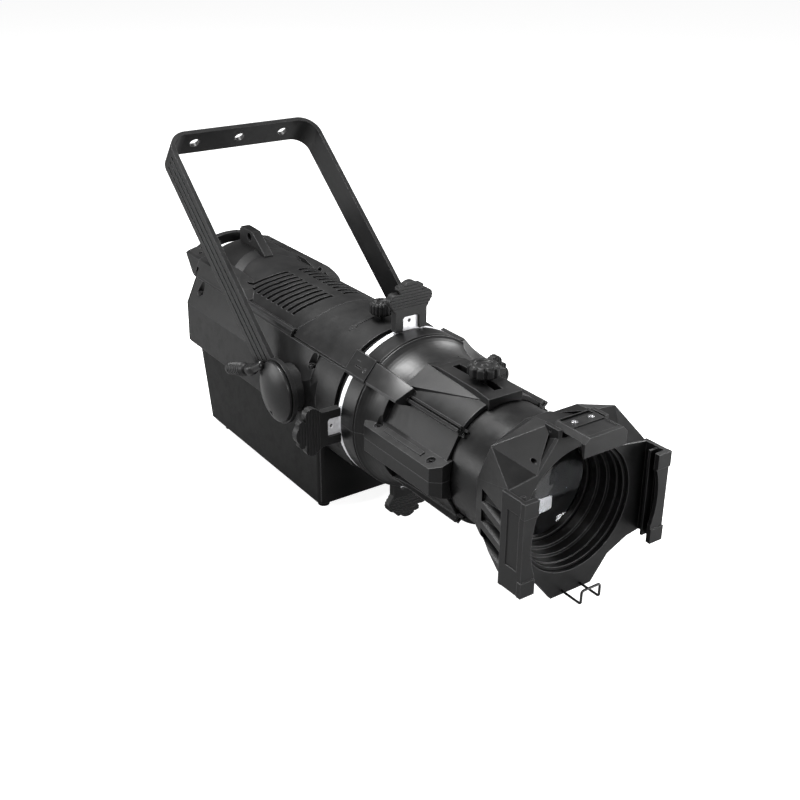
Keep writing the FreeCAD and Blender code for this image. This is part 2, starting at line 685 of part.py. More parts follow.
def barrel_profile():
    """(radius, y) from the gate forward: flange, narrow groove, then a neck that thins out smoothly."""
    flange = [(GATE_R, BARREL_REAR), (GATE_R, 262), (82.4, 261.2), (82.4, 259.6), (83.8, FLANGE_FRONT)]
    return flange + [(66.8 + 17 * math.exp(-((FLANGE_FRONT - y) / 22) ** 0.8), y) for y in BARREL_Y]


def rail():
    """Long rib along the barrel's shoulder, with a second thinner rib above it."""
    low = box(66, 72.5, BARREL_FRONT - 2, 236, -3.0, 0)
    high = box(66, 71.5, BARREL_FRONT - 2, 236, 2.0, 4.2)
    return turned(joined(low, high), -RAIL_ANGLE)


def clamp_block():
    """Side block that holds the two barrel halves together; sections through it are six-sided."""
    xz = [(58, 20), (64, 18.8), (81, 14), (81, -14), (64, -18.8), (58, -20)]
    block = prism_y(xz, 128, 251)
    nose = prism_z([(81.5, 136.5), (71, 127.5), (82, 127)], -40, 40)
    tail = prism_z([(81.5, 244), (75, 251.5), (82, 252)], -40, 40)
    bar = prism_y([(69.5, 14), (69.5, 18.6), (75, 17.05), (75, 12)], 158, 219)
    return joined(block.cut([nose, tail]), bar)


def four_ways(shape):
    """The shape with its mirror images in X, in Z and in both."""
    twins = [shape, mirrored(shape)]
    return twins + [twin.mirror(V(0, 0, 0), Z_AXIS) for twin in twins]


def shoulder_band():
    """Faceted shoulder that grows towards the gate along the right side of the barrel."""
    rear = [V(x, 262, z) for x, z in BAND_REAR]
    front = [V(x, 209, z) for x, z in BAND_FRONT]
    wires = [Part.makePolygon(points + points[:1]) for points in (front, rear)]
    return Part.makeLoft(wires, True, True).cut(rod_y(60, 200, 300))


def barrel_solid():
    """Outside of the whole barrel before it is parted on the horizontal plane."""
    body = spun_y([(0, BARREL_REAR)] + barrel_profile() + [(0, BARREL_FRONT)])
    recess = prism_y([(64.3, 18), (50.9, 42.2), (72, 61.5), (95, 40), (85, 14)], BARREL_FRONT - 1, 232)
    body = joined(body, *four_ways(rail())).cut(four_ways(recess))
    block = clamp_block()
    flat = prism_x([(BARREL_FRONT - 4, 60), (BARREL_FRONT - 4, 70.5), (150, PLATEAU_Z), (212, PLATEAU_Z),
                    (228, 70), (228, 60)], -22, 22)
    plateau = flat.common(prism_z([(20, 126), (17, 230), (-17, 230), (-20, 126)], 50, 90))
    facet = prism([V(47, 222, 57), V(18, 226, 71), V(19, 140, 66)], V(0, 0, -12))
    band = shoulder_band()
    solid = joined(body, block, mirrored(block), plateau, facet, mirrored(facet), band, mirrored(band))
    bore = joined(rod_y(BARREL_BORE_R, BARREL_FRONT - 10, 250),
                  Part.makeCone(BARREL_BORE_R, 76, 20, V(0, 250, 0), Y_AXIS),
                  rod_y(76, 269, BARREL_REAR + 1))
    solid = solid.cut(bore)
    for x in (-BARREL_SCREW_X, BARREL_SCREW_X):
        for y in BARREL_SCREW_Y:
            solid = solid.cut([rod_z(4.6, SCREW_SEAT_Z, 40, x, y), rod_z(2.05, -22, 20, x, y)])
    return solid


def barrel_half(solid, upper):
    keep = box(-120, 120, 100, 300, 0, 120) if upper else box(-120, 120, 100, 300, -120, 0)
    half = solid.common(keep)
    if upper:
        half = half.cut(box(-SLOT_HALF, SLOT_HALF, SLOT_Y[0], SLOT_Y[1], 55, 90))
    return half


INDEX_FACET = 40.7       # angle of the index facet's normal above the horizontal
INDEX_DEEP = 85.9        # the marks are cut down to this distance from the optical axis


def index_blocks():
    """Faceted bridge over the gate with a scale on the left; its twin on the right has none."""
    xz = [(60, 47), (68.6, 47.4), (69.5, 49.0), (69.5, 51.5), (54.2, 69.3), (46, 66)]
    block = prism_y(xz, 262.2, 298).cut(rod_y(GATE_R + 0.05, 250, 310))
    block = block.cut(prism_y([(40, 36), (90, 53.6), (90, 30)], 250, BARREL_REAR))
    centre = V(INDEX_DEEP, 270, 2.9)
    marks = [rod(2.4, 3, centre, X_AXIS).cut(rod(1.4, 3, centre, X_AXIS)),
             box(INDEX_DEEP - 1, 95, 276, 287, 2.2, 3.6), box(INDEX_DEEP, 95, 282, 288, 8.6, 9.2)]
    marked = block.cut([turned(mark, -INDEX_FACET) for mark in marks])
    return Part.makeCompound([mirrored(marked), block])


def guide_clips():
    """Four small sprung guides at the front edge of the barrel that steady the lens tube."""
    clips = []
    for angle in (RAIL_ANGLE, 180 - RAIL_ANGLE, 180 + RAIL_ANGLE, -RAIL_ANGLE):
        foot = box(63.0, 65.8, BARREL_FRONT - 7, BARREL_FRONT - 0.05, -4, 4)
        foot = foot.cut(box(60, 70, BARREL_FRONT - 8, BARREL_FRONT - 3.5, -1.6, 1.6))
        clips.append(turned(foot, -angle))
    return Part.makeCompound(clips)


def barrel_screws():
    screws = []
    for x in (-BARREL_SCREW_X, BARREL_SCREW_X):
        for y in BARREL_SCREW_Y:
            screws.append(screw(4.4, 4.0, 2.0, 26, 2.0, V(x, y, SCREW_SEAT_Z + 4), Z_AXIS))
    return Part.makeCompound(screws)


# ---- lens tube ----------------------------------------------------------------------------------
FRONT_LENS_Y = 72.0
REAR_LENS_Y = 196.0


def lens_tube():
    """Sliding tube with stepped baffles behind its mouth and seats for both lenses."""
    tube = tube_y(TUBE_R, TUBE_IN_R, TUBE_FRONT, TUBE_REAR)
    for step in range(3):
        y = 36.0 + step * 9
        tube = joined(tube, tube_y(TUBE_IN_R + 0.5, TUBE_IN_R - 1.5 - step * 3.4, y, y + 9))
    tube = joined(tube, tube_y(TUBE_IN_R + 0.5, 53, FRONT_LENS_Y + 8, FRONT_LENS_Y + 11))
    tube = joined(tube, tube_y(TUBE_IN_R + 0.5, 53, REAR_LENS_Y - 5.5, REAR_LENS_Y - 2.5))
    return tube.cut(rod_z(STUD_R, 50, 70, 0, KNOB_Y))


def retaining_ring(y0, y1, inner):
    return tube_y(TUBE_IN_R, inner, y0, y1)


FLUTES = 12


def fluted_knob(radius, z0, z1, y, stud_r, stud_bottom):
    """Clamping knob: a disc with scallops round its rim, a shallow dish on top and a stud."""
    knob = rod_z(radius, z0, z1, 0, y)
    for n in range(FLUTES):
        angle = 2 * math.pi * n / FLUTES
        at = (radius + 1.2) * math.cos(angle), y + (radius + 1.2) * math.sin(angle)
        knob = knob.cut(rod_z(radius * 0.16, z0 - 1, z1 + 1, at[0], at[1]))
    knob = knob.cut(rod_z(radius * 0.5, z1 - 0.8, z1 + 1, 0, y))
    collar = rod_z(radius * 0.55, z0 - 2.0, z0, 0, y)
    return joined(knob, collar, rod_z(stud_r, stud_bottom, z0, 0, y))


# ---- accessory holder ---------------------------------------------------------------------------
def holder_outline(inset):
    """Front plate outline: wide in the middle, cap seat above and blunt V below."""
    half = [(24, -86), (43, -62), (66, -51), (HOLDER_X - inset, -48), (HOLDER_X - inset, 44),
            (80 - inset, 44), (49.5, 48.5), (24, 82)]
    return both_sides(half)


def hull(points):
    """Convex solid round a few corner points: one face for each plane with every point behind it."""
    faces = []
    seen = []
    for a, b, c in itertools.combinations(points, 3):
        normal = (b - a).cross(c - a)
        if normal.Length < 1e-6:
            continue
        normal.normalize()
        reach = [(p - a).dot(normal) for p in points]
        if max(reach) > 1e-6 and min(reach) < -1e-6:
            continue
        flat = [p for p, far in zip(points, reach) if abs(far) <= 1e-6]
        corners = sorted(points.index(p) for p in flat)
        if corners in seen:
            continue
        seen.append(corners)
        middle = sum(flat, V()) * (1.0 / len(flat))
        along = (flat[0] - middle).normalize()
        across = normal.cross(along)
        flat.sort(key=lambda p: math.atan2((p - middle).dot(across), (p - middle).dot(along)))
        faces.append(Part.Face(Part.makePolygon(flat + flat[:1])))
    return Part.Solid(Part.makeShell(faces))


def holder_wing():
    """Faceted wing from the front plate's upper corner back to the lens tube, right side."""
    shared = [(72, 60, 68), (49.5, 26, 48.5), (54, 84, 44)]
    outside = shared + [(80, 26, 44), (66, 84, 24)]
    inside = shared + [(23, 40, 84), (24, 60, 82), (38, 84, 58), (14, 84, 66)]
    wing_solid = joined(*[hull([V(*corner) for corner in corners]) for corners in (outside, inside)])
    slot = joined(rod_y(2.6, 10, 62, 29, 66), rod_y(2.6, 10, 62, 40, 51),
                  prism_y([(26.9, 64.5), (37.9, 49.5), (42.1, 52.5), (31.1, 67.5)], 10, 62))
    return wing_solid.cut([slot, rod_y(2.0, 10, 55, 47, 58)])


def side_channel():
    """Right-hand channel: front flange with end blocks, a middle rib and the outer wall."""
    wall = box(FRAME_HALF, HOLDER_X, 0, PLATE_Y[0], -47.5, 44)
    flange = box(69, HOLDER_X, 0, 4, -47.5, 44)
    rib = box(72, FRAME_HALF, 12, 14.5, -46, 42)
    channel = joined(wall, flange, rib)
    scoop = rod_y(90, -1, 5, 69 - 90 + 5, 0).common(box(50, 76, -1, 5, -29, 27))
    channel = channel.cut(scoop)
    for z in (-47.5, 29):
        channel = joined(channel, box(69, HOLDER_X + 0.6, -1.2, 4, z, z + 15))
    panel = box(HOLDER_X - 0.8, HOLDER_X + 2, 6, 21, -24, 30)
    return channel.cut(panel)


def accessory_holder():
    """Cast holder: back plate, two channels, and a faceted skirt that closes on the lens tube."""
    front = [V(x, PLATE_Y[1] - 0.5, z) for x, z in holder_outline(5)]
    rear = [V(x, HOLDER_REAR, z) for x, z in both_sides([(14, -66), (34, -60), (52, -46), (66, -24), (66, 24),
                                                          (54, 44), (38, 58), (14, 68)])]
    wires = [Part.makePolygon(points + points[:1]) for points in (front, rear)]
    skirt = Part.makeLoft(wires, True, True)
    plate = prism_y(holder_outline(0), *PLATE_Y)
    body = joined(plate, skirt)
    for level in range(4):
        z = 22 - level * 20
        louvre = prism_y([(60, z), (90, z - 10), (90, z - 23), (60, z - 13)], 34, 74)
        louvre = louvre.cut(rod_y(TUBE_R + 4.0, 30, 80))
        body = body.cut([louvre, mirrored(louvre)])
    right_wing = holder_wing()
    body = joined(body, right_wing, mirrored(right_wing))
    body = body.cut([rod_y(OPENING_R, 20, 30), rod_y(TUBE_R + 0.02, PLATE_Y[1], 90)])
    cheek = box(24.4, 28.4, PLATE_Y[0], LATCH_Y[1] + 4, 70, 84.5)
    body = joined(body, cheek, mirrored(cheek))
    body = body.cut([box(-24.4, 24.4, 20, 46, 76.5, 90), rod_x(PIN_R + 0.05, -30, 30, *LATCH_HINGE)])
    channel = side_channel()
    body = joined(body, channel, mirrored(channel))
    for x in (-11, 11):
        body = body.cut(rod_y(WIRE_R + 0.05, 20, 40, x, WIRE_Z))
    return body


WIRE_R = 1.2
WIRE_Z = -82.0
WIRE_RISE = 13.5


def wire_clip():
    """Bent spring wire below the opening that keeps a frame from dropping forward."""
    rear, front = 38.0, 0.0
    pieces = []
    for x in (-11, 11):
        pieces.append(rod_y(WIRE_R, front, rear, x, WIRE_Z))
        pieces.append(rod_z(WIRE_R, WIRE_Z, WIRE_Z + WIRE_RISE, x, front))
        pieces.append(Part.makeSphere(WIRE_R, V(x, front, WIRE_Z)))
        pieces.append(Part.makeSphere(WIRE_R, V(x, front, WIRE_Z + WIRE_RISE)))
    pieces.append(rod_x(WIRE_R, -11, 11, front, WIRE_Z + WIRE_RISE))
    return joined(*pieces)


LATCH_Y = (FRONT_END, 39.0)
LATCH_TOP = 86.5
LATCH_HINGE = (36.0, 80.5)
PIN_R = 1.5


def accessory_latch():
    """Hinged roof over the frame slot, with a lip in front and a raised border on top."""
    y0, y1 = LATCH_Y
    roof = box(-24, 24, y0, y1, LATCH_TOP - 4.5, LATCH_TOP)
    lip_z = LATCH_TOP - 17.5
    lip = prism_x([(y0, LATCH_TOP), (y0, lip_z), (y0 + 1.8, lip_z), (y0 + 5, LATCH_TOP - 4)], -24, 24)
    knuckle = joined(rod_x(2.6, -24, 24, *LATCH_HINGE), rod_x(PIN_R, -28, 28, *LATCH_HINGE))
    latch = joined(roof, lip, knuckle)
    latch = latch.cut(box(-18, 18, 2, 20, LATCH_TOP - 1.0, LATCH_TOP + 1))
    latch = latch.cut(box(-17, 17, 31.5, 38.0, LATCH_TOP - 1.8, LATCH_TOP + 1))
    corner = prism_y([(24.1, LATCH_TOP + 0.1), (19, LATCH_TOP + 0.1), (24.1, LATCH_TOP - 5)], y0 - 1, y1 + 1)
    latch = latch.cut([corner, mirrored(corner)])
    for x in (-9.6, 9.6):
        latch = latch.cut(rod_z(2.0, LATCH_TOP - 10, LATCH_TOP + 2, x, 27))
    return latch


def latch_rivets():
    rivets = []
    for x in (-9.6, 9.6):
        head = rod_z(3.0, LATCH_TOP, LATCH_TOP + 0.9, x, 27)
        head = head.cut(rod_z(1.5, LATCH_TOP + 0.3, LATCH_TOP + 2, x, 27))
        rivets.append(joined(head, rod_z(2.0, LATCH_TOP - 4.5, LATCH_TOP + 0.3, x, 27)))
    return Part.makeCompound(rivets)


# ---- write every node ---------------------------------------------------------------------------
def main():
    os.makedirs("parts", exist_ok=True)
    save("top_shell", top_shell())
    save("front_cover", front_cover())
    save("lower_shell", lower_shell())
    save("driver_box", driver_box())
    save("rear_panel", rear_panel())
    save("rear_handle", rear_handle())
    save("safety_eye", safety_eye())
    save("rubber_feet", feet())
    save("housing_screws", housing_screws())
    save("heat_sink", heat_sink())
    save("led_module", led_module())
    save("engine_tube", engine_tube())
    save("condenser_lens", lens_solid(42.8, 5, 343, 2.8, 9.0))
    save("fan_frame", fan_frame())
    save("fan_rotor", fan_rotor())
    save("power_supply", power_supply())
    save("control_board", control_board())
    save("display_window", display_window())
    for number, x in enumerate(BUTTON_X, 1):
        save("menu_button_%d" % number, menu_button(x))
    save("power_inlet", panel_socket(SOCKET_X[0], 3, False))
    save("power_outlet", panel_socket(SOCKET_X[1], 3, False))
    save("data_sockets", Part.makeCompound([panel_socket(x, 5, True) for x in SOCKET_X[2:]]))
    save("fuse_holder", fuse_holder())
    save("pivot_bosses", pivot_bosses())
    save("friction_washers", friction_washers())
    save("pivot_bolts", pivot_bolts())
    save("rotation_lock_knob", fluted_knob(13.0, 85.5, 99.0, LOCK_KNOB_Y, 3.0, 74.0))
    save("yoke", yoke())
    save("pivot_cap_right", domed_cap())
    save("lock_disc_left", mirrored(domed_cap()))
    save("lock_lever", lock_lever())
    save("lever_grip", lever_grip())
    save("gate_ring", gate_ring())
    save("gate_plates", gate_plates())
    save("bearing_ring", bearing_ring())
    barrel = barrel_solid()
    save("barrel_upper", barrel_half(barrel, True))
    save("barrel_lower", barrel_half(barrel, False))
    save("barrel_screws", barrel_screws())
    save("index_blocks", index_blocks())
    save("guide_clips", guide_clips())
    for index, side in enumerate(SIDES):
        shift = V(0, blade_y(index), 0)
        save("shutter_blade_" + side, turned(blade().translated(shift), -90 * index))
        save("shutter_handle_" + side, turned(handle().translated(shift), -90 * index))
    save("lens_tube", lens_tube())
    save("front_lens", lens_solid(TUBE_IN_R, 5, FRONT_LENS_Y, 5.0, 12.0))
    save("rear_lens", lens_solid(TUBE_IN_R, 5, REAR_LENS_Y, 10.0, 3.0))
    save("lens_rings", Part.makeCompound([retaining_ring(FRONT_LENS_Y - 8, FRONT_LENS_Y - 1.9, 48.2),
                                          retaining_ring(REAR_LENS_Y + 5.8, REAR_LENS_Y + 9, 52)]))
    save("focus_knob", fluted_knob(15.5, 77.5, 90.0, KNOB_Y, STUD_R - 0.05, 55.0))
    save("accessory_holder", accessory_holder())
    save("wire_clip", wire_clip())
    save("accessory_latch", accessory_latch())
    save("latch_rivets", latch_rivets())


main()
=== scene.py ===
import json
import math

import bpy
import numpy as np
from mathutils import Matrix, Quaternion, Vector


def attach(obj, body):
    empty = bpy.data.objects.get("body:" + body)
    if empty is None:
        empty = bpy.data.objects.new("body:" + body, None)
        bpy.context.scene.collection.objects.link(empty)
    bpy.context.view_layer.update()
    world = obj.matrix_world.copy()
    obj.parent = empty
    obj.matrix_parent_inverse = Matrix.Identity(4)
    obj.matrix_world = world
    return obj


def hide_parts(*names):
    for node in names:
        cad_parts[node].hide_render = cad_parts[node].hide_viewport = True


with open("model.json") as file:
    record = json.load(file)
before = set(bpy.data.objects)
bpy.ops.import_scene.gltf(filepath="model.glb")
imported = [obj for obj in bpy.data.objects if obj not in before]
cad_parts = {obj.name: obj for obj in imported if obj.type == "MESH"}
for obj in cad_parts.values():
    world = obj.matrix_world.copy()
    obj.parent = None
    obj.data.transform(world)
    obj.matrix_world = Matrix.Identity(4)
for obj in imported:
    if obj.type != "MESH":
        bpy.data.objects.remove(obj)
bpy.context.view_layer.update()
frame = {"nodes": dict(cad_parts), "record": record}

NODES = frame["nodes"]
SLOT_OF = {row["node"]: row["material_slot"] for row in frame["record"]["subparts"]}

# ---- camera ------------------------------------------------------------------------------------
CAMERA_PLACE = (-0.6113, -0.93015, 0.6488)
CAMERA_AZIMUTH = -34.62
CAMERA_ELEVATION = 25.26
CAMERA_ROLL = -0.29
SENSOR_WIDTH = 36.0
LENS = 50.45


def make_camera():
    """Camera that looks down the azimuth and elevation, then rolls a little about its own line of sight."""
    a = math.radians(CAMERA_AZIMUTH)
    e = math.radians(CAMERA_ELEVATION)
    ahead = Vector((-math.sin(a) * math.cos(e), math.cos(a) * math.cos(e), -math.sin(e)))
    data = bpy.data.cameras.new("camera")
    data.sensor_width = SENSOR_WIDTH
    data.lens = LENS
    camera = bpy.data.objects.new("camera", data)
    bpy.context.scene.collection.objects.link(camera)
    camera.location = CAMERA_PLACE
    camera.rotation_mode = "QUATERNION"
    roll = Quaternion(ahead, math.radians(CAMERA_ROLL))
    camera.rotation_quaternion = roll @ ahead.to_track_quat("-Z", "Y")
    bpy.context.scene.camera = camera


# ---- node helpers ------------------------------------------------------------------------------
class Tree:
    """A node tree with short calls to add a node, set its sockets and link it."""

    def __init__(self, tree):
        self.tree = tree

    def add(self, kind, ins=None, **props):
        node = self.tree.nodes.new(kind)
        for key, value in props.items():
            setattr(node, key, value)
        for key, value in (ins or {}).items():
            self.put(node.inputs[key], value)
        return node

    def put(self, socket, value):
        if isinstance(value, bpy.types.NodeSocket):
            self.tree.links.new(value, socket)
        else:
            socket.default_value = value

    def math(self, operation, a, b=0.0, clamp=False):
        node = self.add("ShaderNodeMath", {0: a, 1: b}, operation=operation, use_clamp=clamp)
        return node.outputs[0]

    def span(self, value, low, high, to_low=0.0, to_high=1.0):
        node = self.add("ShaderNodeMapRange", {0: value, 1: low, 2: high, 3: to_low, 4: to_high})
        return node.outputs[0]

    def mix(self, share, a, b):
        node = self.add("ShaderNodeMix", data_type="RGBA")
        self.put(node.inputs[0], share)
        self.put(node.inputs[6], a)
        self.put(node.inputs[7], b)
        return node.outputs[2]

    def noise(self, vector, scale, detail=2.0, roughness=0.5):
        node = self.add("ShaderNodeTexNoise", {"Vector": vector, "Scale": scale, "Detail": detail,
                                               "Roughness": roughness})
        return node.outputs[0]

    def group(self, tree, **values):
        return self.add("ShaderNodeGroup", values, node_tree=tree).outputs


def new_group(name, inputs, outputs):
    """Empty shader group with its named sockets; inputs are (name, kind, value)."""
    group = bpy.data.node_groups.new(name, "ShaderNodeTree")
    for label, kind, value in inputs:
        socket = group.interface.new_socket(label, in_out="INPUT", socket_type="NodeSocket" + kind)
        if value is not None:
            socket.default_value = value
    for label, kind in outputs:
        group.interface.new_socket(label, in_out="OUTPUT", socket_type="NodeSocket" + kind)
    t = Tree(group)
    return t, t.add("NodeGroupInput").outputs, t.add("NodeGroupOutput").inputs


def grain_group():
    """Powder or spark-eroded grain: two sizes of noise, as a height and as a slow change of shade."""
    t, i, o = new_group("coating_grain", [("Size", "Float", 900.0), ("Patch", "Float", 14.0)],
                        [("Height", "Float"), ("Shade", "Float"), ("Rub", "Float")])
    at = t.add("ShaderNodeTexCoord").outputs["Object"]
    fine = t.noise(at, i["Size"], 1.0)
    coarse = t.noise(at, t.math("MULTIPLY", i["Size"], 0.31), 2.0)
    t.put(o["Height"], t.math("ADD", t.math("MULTIPLY", fine, 0.6), t.math("MULTIPLY", coarse, 0.4)))
    patch = t.noise(at, i["Patch"], 3.0, 0.6)
    t.put(o["Shade"], t.span(patch, 0.3, 0.7))
    t.put(o["Rub"], t.span(t.noise(at, t.math("MULTIPLY", i["Patch"], 4.0), 4.0, 0.7), 0.45, 0.75))
    return t.tree


def edge_group():
    """Softly rounded edges: the normal is averaged over Radius, and Mask is how far it leans away; the finishes
    use Mask to paint a highlight along the edges.
    """
    t, i, o = new_group("rounded_edges_painted_highlight", [("Radius", "Float", 0.0008), ("Reach", "Float", 0.06)],
                        [("Normal", "Vector"), ("Mask", "Float")])
    bevel = t.add("ShaderNodeBevel", {"Radius": i["Radius"]}, samples=6)
    flat = t.add("ShaderNodeNewGeometry").outputs["Normal"]
    dot = t.add("ShaderNodeVectorMath", {0: bevel.outputs[0], 1: flat}, operation="DOT_PRODUCT")
    lean = t.math("SUBTRACT", 1.0, dot.outputs["Value"])
    t.put(o["Normal"], bevel.outputs[0])
    t.put(o["Mask"], t.math("DIVIDE", lean, i["Reach"], clamp=True))
    return t.tree


def hollow_group():
    """How open a place is: 1 on free surfaces, falling towards 0 in grooves and corners within Reach; the
    finishes use it to paint shade into those grooves and corners.
    """
    t, i, o = new_group("painted_hollow_shade", [("Reach", "Float", 0.012), ("Power", "Float", 1.6)],
                        [("Open", "Float")])
    occlusion = t.add("ShaderNodeAmbientOcclusion", {"Distance": i["Reach"]}, samples=6)
    t.put(o["Open"], t.math("POWER", occlusion.outputs["AO"], i["Power"]))
    return t.tree


def dust_group():
    """Thin settled dust: strongest on faces that look up, broken by noise."""
    t, i, o = new_group("settled_dust", [("Amount", "Float", 0.1)], [("Mask", "Float")])
    up = t.add("ShaderNodeSeparateXYZ", {0: t.add("ShaderNodeNewGeometry").outputs["Normal"]}).outputs["Z"]
    at = t.add("ShaderNodeTexCoord").outputs["Object"]
    cloud = t.span(t.noise(at, 38.0, 5.0, 0.65), 0.35, 0.8)
    t.put(o["Mask"], t.math("MULTIPLY", t.math("MULTIPLY", t.span(up, 0.2, 1.0), cloud), i["Amount"]))
    return t.tree


def brushed_group():
    """Brushed metal: noise drawn out along one direction, as height and shade."""
    t, i, o = new_group("brushed_lines", [("Stretch", "Vector", (1.0, 1.0, 1.0))],
                        [("Height", "Float"), ("Shade", "Float")])
    at = t.add("ShaderNodeTexCoord").outputs["Object"]
    scaled = t.add("ShaderNodeVectorMath", {0: at, 1: i["Stretch"]}, operation="MULTIPLY").outputs[0]
    lines = t.noise(scaled, 400.0, 3.0, 0.6)
    t.put(o["Height"], lines)
    t.put(o["Shade"], t.span(lines, 0.3, 0.7))
    return t.tree


GRAIN = grain_group()
EDGES = edge_group()
HOLLOW = hollow_group()
DUST = dust_group()
BRUSHED = brushed_group()

COOL = 1.03                         # blue over red in every neutral grey
EDGE_SHARE = 0.5                    # how much of the painted edge highlight shows where the mask is full
# painted highlight colour along metal edges
PAINTED_EDGE_HIGHLIGHT = (0.9, 0.9, 0.9, 1)
DUST_SHADE = (0.42, 0.41, 0.39, 1)
DUST_ROUGH = 0.4
PAINTED_SHADE_SHARE = 0.25                 # painted shade in a closed hollow, as a share of the dark shade
COAT_ROUGH = 0.15
GRAIN_STRENGTH = 0.7
SMOOTHER = 0.05                     # how far rubbed and unrubbed patches depart from a black's roughness
ROUGHER = 0.06
BRUSH_ROUGHER = 0.12
BRUSH_STRENGTH = 0.6
LENS_IOR = 1.62


def grey(value):
    """Neutral grey with a trace of blue."""
    return (value, value, value * COOL)


def new_material(name):
    """Empty node material and the short calls that fill it."""
    material = bpy.data.materials.new(name)
    material.use_nodes = True
    material.node_tree.nodes.clear()
    return material, Tree(material.node_tree)


def finish_black(name, dark, light, rough, grain=900.0, depth=0.00002, edge=0.0010, edge_highlight_shade=0.10,
                 dust=0.02, coat=0.0, level=0.5):
    """Coated or moulded finish: patchy shade, grain bump, paler edges as a painted highlight, painted shade in
    the hollows, a little dust.
    """
    material, t = new_material(name)
    coating = t.group(GRAIN, Size=grain)
    edges = t.group(EDGES, Radius=edge)
    dusting = t.group(DUST, Amount=dust)["Mask"]
    openness = t.group(HOLLOW)["Open"]
    body = t.mix(coating["Shade"], (*dark, 1), (*light, 1))
    # painted highlight: a paler grey along the edges, where the rounded normal leans away
    edge_highlighted = t.mix(t.math("MULTIPLY", edges["Mask"], EDGE_SHARE), body, (*grey(edge_highlight_shade), 1))
    # painted shade: grooves and corners darken towards a share of the dark tone, by ambient occlusion
    painted_shade_colour = tuple(PAINTED_SHADE_SHARE * value for value in dark)
    colour = t.mix(openness, (*painted_shade_colour, 1), t.mix(dusting, edge_highlighted, DUST_SHADE))
    roughness = t.math("ADD", t.span(coating["Rub"], 0.0, 1.0, rough - SMOOTHER, rough + ROUGHER),
                       t.math("MULTIPLY", dusting, DUST_ROUGH))
    bump = t.add("ShaderNodeBump", {"Height": coating["Height"], "Distance": depth,
                                    "Strength": GRAIN_STRENGTH, "Normal": edges["Normal"]})
    shader = t.add("ShaderNodeBsdfPrincipled", {
        "Base Color": colour, "Roughness": roughness, "Normal": bump.outputs[0],
        "Specular IOR Level": level, "Coat Weight": coat, "Coat Roughness": COAT_ROUGH})
    t.add("ShaderNodeOutputMaterial", {"Surface": shader.outputs[0]})
    return material


def finish_metal(name, dark, light, rough, stretch, edge=0.0004, metallic=1.0, depth=0.00001):
    """Bare metal with drawn-out brushing lines and a painted highlight on the edges."""
    material, t = new_material(name)
    lines = t.group(BRUSHED, Stretch=stretch)
    edges = t.group(EDGES, Radius=edge)
    body = t.mix(lines["Shade"], (*dark, 1), (*light, 1))
    # painted highlight: near-white along the metal's edges
    colour = t.mix(t.math("MULTIPLY", edges["Mask"], EDGE_SHARE), body, PAINTED_EDGE_HIGHLIGHT)
    bump = t.add("ShaderNodeBump", {"Height": lines["Height"], "Distance": depth,
                                    "Strength": BRUSH_STRENGTH, "Normal": edges["Normal"]})
    shader = t.add("ShaderNodeBsdfPrincipled", {
        "Base Color": colour, "Roughness": t.span(lines["Shade"], 0.0, 1.0, rough, rough + BRUSH_ROUGHER),
        "Normal": bump.outputs[0], "Metallic": metallic})
    t.add("ShaderNodeOutputMaterial", {"Surface": shader.outputs[0]})
    return material


def finish_glass(name):
    """Coated lens glass: clear, with a faint blue-violet coating that is uneven by a hair."""
    material, t = new_material(name)
    at = t.add("ShaderNodeTexCoord").outputs["Object"]
    tint = t.mix(t.noise(at, 9.0), (0.90, 0.94, 0.99, 1), (0.96, 0.97, 1.0, 1))
    roughness = t.span(t.noise(at, 30.0), 0.3, 0.7, 0.0, 0.012)
    shader = t.add("ShaderNodeBsdfPrincipled", {
        "Base Color": tint, "Roughness": roughness, "Transmission Weight": 1.0, "IOR": LENS_IOR})
    t.add("ShaderNodeOutputMaterial", {"Surface": shader.outputs[0]})
    return material


